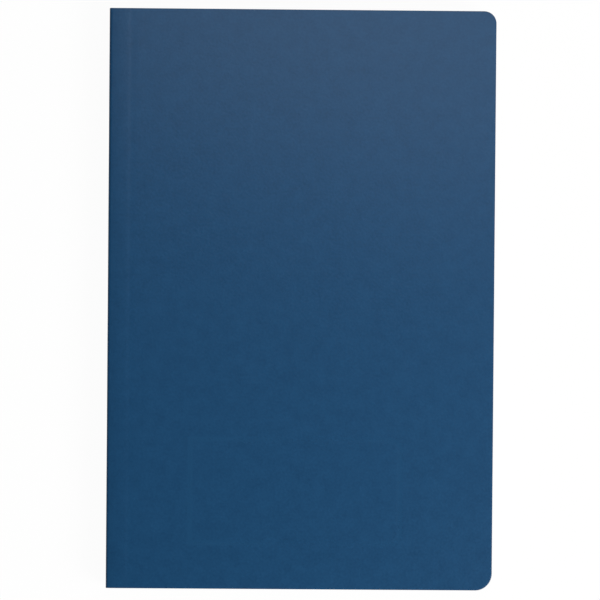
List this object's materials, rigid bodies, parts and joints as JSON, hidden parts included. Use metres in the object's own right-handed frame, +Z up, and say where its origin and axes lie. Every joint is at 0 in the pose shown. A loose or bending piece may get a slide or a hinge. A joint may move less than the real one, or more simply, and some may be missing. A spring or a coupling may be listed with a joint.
{
  "type": "softcover notebook",
  "caption": "Closed softcover notebook with a wrap-around flexible cover, hinge creases beside the spine, rounded fore-edge corners and sewn sections that open flat at the centre.",
  "frame": {"origin": "centre of the footprint, on the surface that the back cover rests on", "axes": "+X from the spine to the fore-edge, +Y from tail to head, +Z up out of the front cover"},
  "size_m": [0.14, 0.21, 0.0109],
  "materials": {
    "soft_cover": "matt laminated, fine grain",
    "endpaper": "uncoated, cream",
    "book_paper": "uncoated, cream, faint ruling",
    "sewing_thread": "waxed twisted thread",
    "spine_lining": "crepe paper and glue"
  },
  "bodies": {
    "lower_block": {"back_hinge_strip": "soft_cover", "cover_spine": "soft_cover", "spine_lining": "spine_lining", "back_flyleaf": "endpaper", "section_5_back_leaves": "book_paper", "section_6": "book_paper", "section_7": "book_paper", "section_8": "book_paper", "section_9": "book_paper", "centre_thread": "sewing_thread", "lower_link_stitch_1": "sewing_thread", "lower_link_stitch_2": "sewing_thread", "lower_link_stitch_3": "sewing_thread", "lower_link_stitch_4": "sewing_thread", "lower_link_stitch_5": "sewing_thread"},
    "upper_block": {"front_hinge_strip": "soft_cover", "front_flyleaf": "endpaper", "section_1": "book_paper", "section_2": "book_paper", "section_3": "book_paper", "section_4": "book_paper", "section_5_front_leaves": "book_paper", "upper_link_stitch_1": "sewing_thread", "upper_link_stitch_2": "sewing_thread", "upper_link_stitch_3": "sewing_thread", "upper_link_stitch_4": "sewing_thread", "upper_link_stitch_5": "sewing_thread"},
    "front_cover_panel": {"front_cover": "soft_cover", "front_pastedown": "endpaper"},
    "back_cover_panel": {"back_cover": "soft_cover", "back_pastedown": "endpaper"}
  },
  "joints": [
    {"name": "centre_opening", "type": "hinge", "parent": "lower_block", "child": "upper_block", "pos_m": [-0.07015, 0, 0.00546], "axis": [0, -1, 0], "range_deg": [0, 179.9], "deforming": ["cover_spine", "spine_lining"]},
    {"name": "front_cover_hinge", "type": "hinge", "parent": "upper_block", "child": "front_cover_panel", "pos_m": [-0.0623, 0, 0.01145], "axis": [0, -1, 0], "range_deg": [0, 179.9]},
    {"name": "back_cover_hinge", "type": "hinge", "parent": "lower_block", "child": "back_cover_panel", "pos_m": [-0.0623, 0, -0.00006], "axis": [0, 1, 0], "range_deg": [0, 179.9]}
  ]
}
